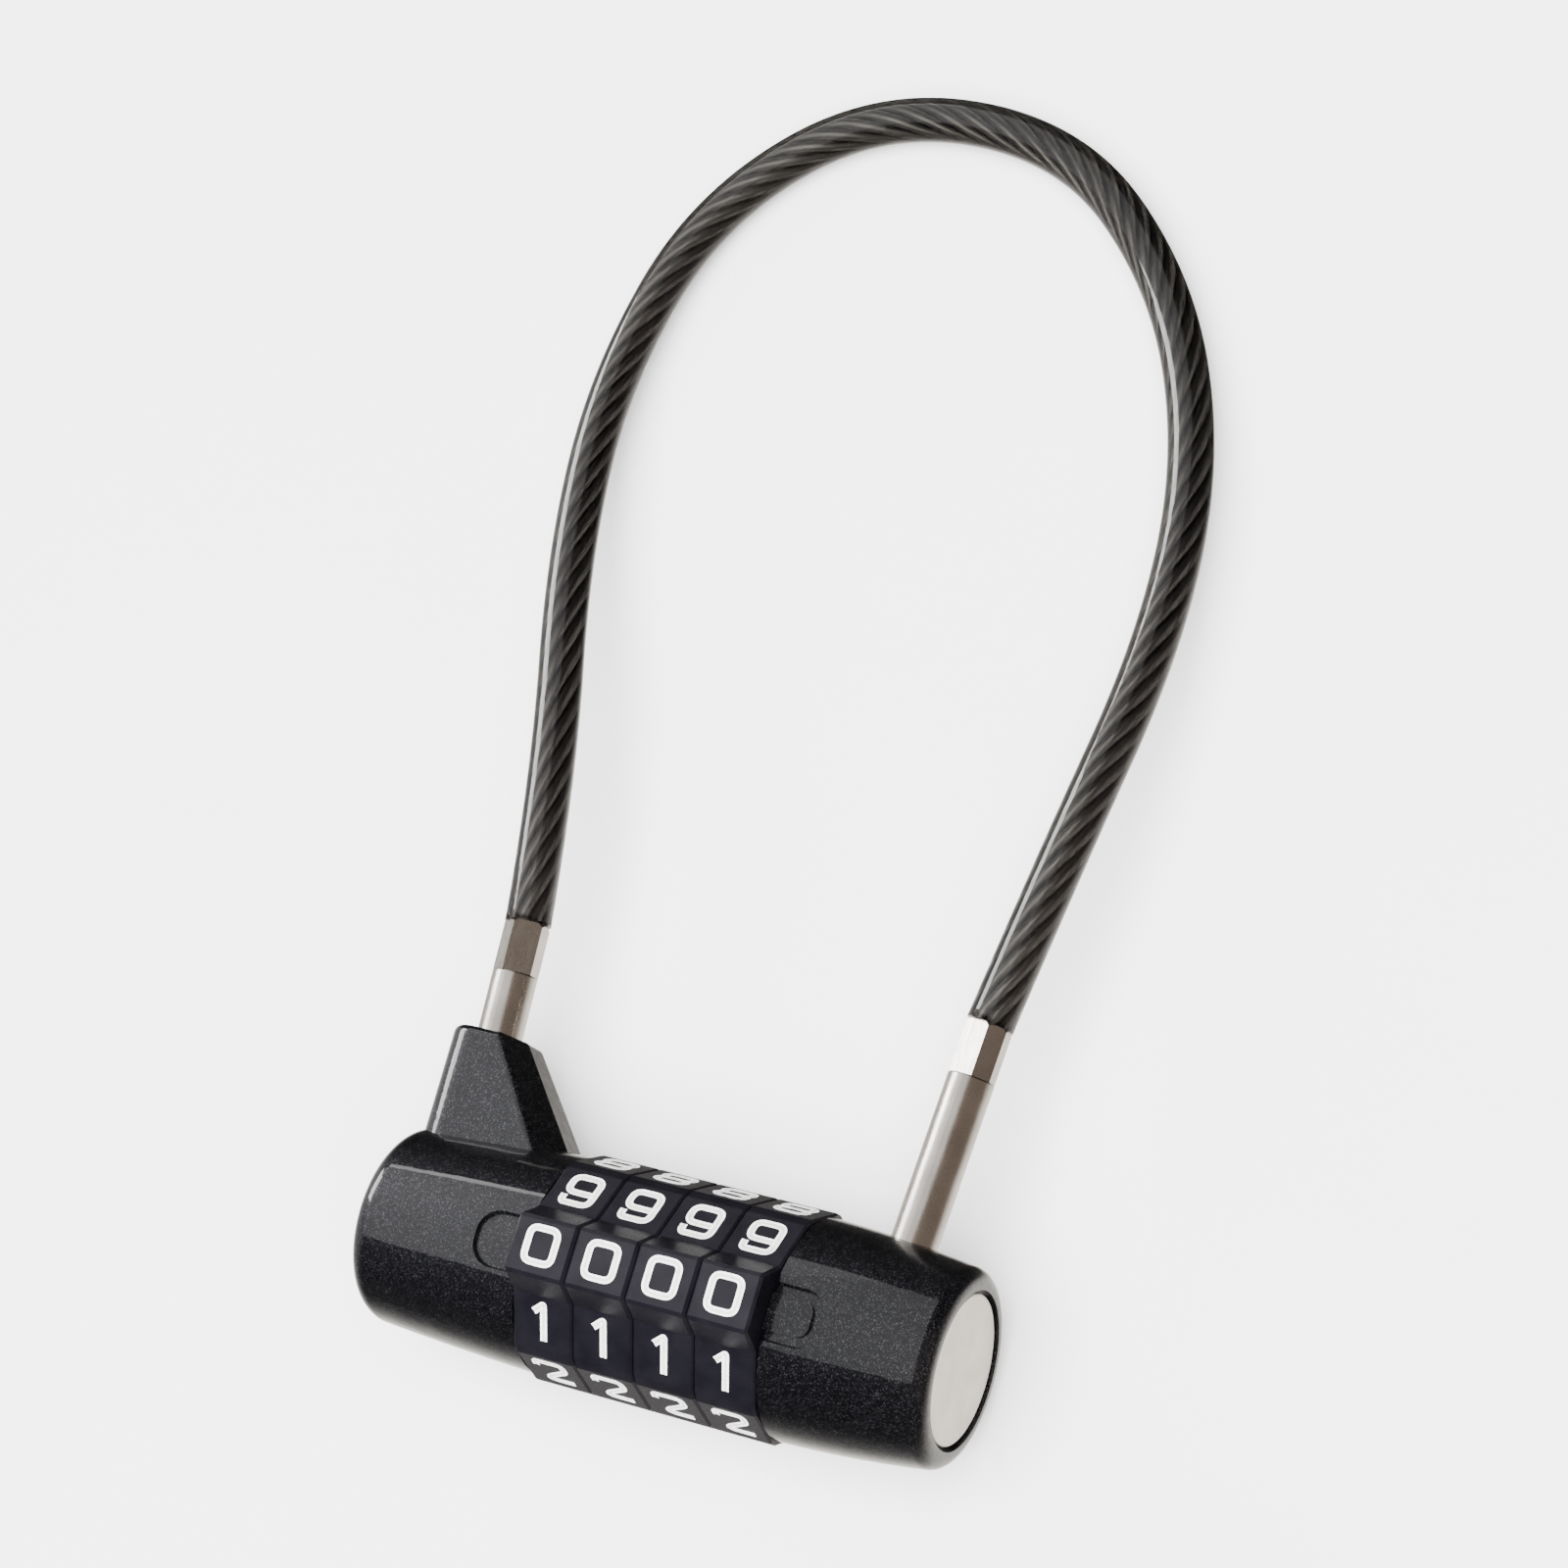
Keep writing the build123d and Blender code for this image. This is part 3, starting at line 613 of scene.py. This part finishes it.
def digit_place(x, digit):
    """Matrix from the digit's own plane to its pad: +X along the lock, +Y up the digit, +Z out."""
    turn = Matrix.Rotation(digit * DIGIT_STEP, 4, "X")
    height = DIAL_APOTHEM if digit else DIAL_APOTHEM + ZERO_PAD_RISE
    out = Matrix.Translation((0, DIGIT_LIFT, height))
    size = Matrix.Diagonal((1, 1 if digit else ZERO_HEIGHT, 1, 1))
    return Matrix.Translation((x, AXIS_Y, AXIS_Z)) @ turn @ out @ size


def build_digits(look):
    """The ten digits of each dial as one piece that rides on the dial."""
    glyphs = glyph_strokes()
    for index in range(DIAL_COUNT):
        x = DIAL_X + (index - (DIAL_COUNT - 1) / 2) * DIAL_PITCH
        bm = bmesh.new()
        uv = bm.loops.layers.uv.new("across")
        for digit, strokes in glyphs.items():
            place = digit_place(x, digit)
            for layer, (corners, radius, closed) in enumerate(strokes):
                line = rounded(corners, radius, closed)
                add_stroke(bm, uv, line, closed, INLAY_PROUD + layer * LAYER_LIFT, place)
        made = mesh_object(f"digits_{index + 1}", bm, look)
        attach(made, f"dial_{index + 1}")


# ---- camera, light and floor
def build_camera():
    data = bpy.data.cameras.new("camera")
    data.lens = CAMERA_LENS
    data.sensor_width = CAMERA_SENSOR
    data.clip_start, data.clip_end = CAMERA_CLIP
    camera = bpy.data.objects.new("camera", data)
    bpy.context.scene.collection.objects.link(camera)
    right, up = Vector(CAMERA_RIGHT), Vector(CAMERA_UP)
    back = right.cross(up)
    turn = Matrix((right, up, back)).transposed().to_4x4()
    camera.matrix_world = Matrix.Translation(CAMERA_AT) @ turn
    bpy.context.scene.camera = camera


def area_light(name, at, aim, size, power, glossy):
    data = bpy.data.lights.new(name, "AREA")
    data.shape = "RECTANGLE"
    data.size, data.size_y = size
    data.energy = power
    light = bpy.data.objects.new(name, data)
    bpy.context.scene.collection.objects.link(light)
    light.location = at
    light.rotation_euler = (Vector(at) - Vector(aim)).to_track_quat("Z", "Y").to_euler()
    light.visible_glossy = glossy


def build_world():
    """Dark studio: pale far left and below, dim brown to the right, black beyond the loop."""
    world = bpy.data.worlds.new("studio")
    bpy.context.scene.world = world
    world.use_nodes = True
    tree = world.node_tree
    link = tree.links.new
    # each part of the direction, from -1..1 to 0..1
    x, y, z = [maths(tree, "MULTIPLY_ADD", part, 0.5, 0.5) for part in coordinate_parts(tree, "Generated")]
    left_to_right = ramp(tree, x, [
        (0.06, 0.60), (0.16, (0.08, 0.08, 0.09)),
        (0.40, (0.08, 0.08, 0.085)), (0.52, (0.22, 0.18, 0.15))])
    front_to_back = ramp(tree, y, [(0.12, 0.35), (0.34, 1.0), (0.66, 1.0), (0.76, 0.03)])
    below = ramp(tree, z, [(0.06, 1.0), (0.36, 0.0)])
    mixed = node(tree, "ShaderNodeMix", data_type="RGBA")
    link(below, mixed.inputs["Factor"])
    link(left_to_right, mixed.inputs["A"])
    mixed.inputs["B"].default_value = BELOW_COLOUR
    shaded = multiplied(tree, mixed.outputs["Result"], front_to_back)
    link(shaded, tree.nodes["Background"].inputs["Color"])


def build_floor(look):
    bpy.ops.mesh.primitive_plane_add(size=FLOOR_SIZE, location=(0, 0, FLOOR_Z))
    floor = bpy.context.object
    floor.name = "floor"
    floor.data.materials.append(look)
    floor.visible_glossy = False


# ---- looks of the CAD nodes
def node_looks():
    """The material for each of the record's slots that the CAD nodes show."""
    along_x, along_y = (0.12, 1, 1), (1, 0.12, 1)
    nickel_tones = (0.58, 0.535, 0.49), (0.72, 0.675, 0.62)
    plated_tones = (0.52, 0.52, 0.50), (0.66, 0.66, 0.63)
    spring_tones = (0.22, 0.22, 0.23), (0.36, 0.36, 0.37)
    cast_tones = (0.50, 0.50, 0.52), (0.64, 0.64, 0.66)
    return {
        "housing_paint": flake_paint(),
        "dial_plastic": dial_plastic(),
        "nickel_pin": turned_metal(
            "brushed_nickel", *nickel_tones, roughness=0.27, along=along_y, strength=0.16),
        "plated_steel": turned_metal("plated_steel", *plated_tones, roughness=0.32, along=along_x),
        "spring_steel": turned_metal("spring_steel", *spring_tones, roughness=0.30, along=along_x),
        "code_metal": turned_metal("cast_rings", *cast_tones, roughness=0.42, strength=0.25),
        "button_metal": button_metal(),
    }


def dress_nodes():
    looks = node_looks()
    slots = {part["node"]: part["material_slot"] for part in frame["record"]["subparts"]}
    for name, shown in frame["nodes"].items():
        look = looks.get(slots[name])
        if look is not None:
            shown.data.materials.clear()
            shown.data.materials.append(look)


build_camera()
build_cable(smoke_jacket(), strand_steel())
dress_nodes()
build_digits(digit_white())
build_world()
build_floor(floor_paper())
for light_row in LIGHTS:
    area_light(*light_row)
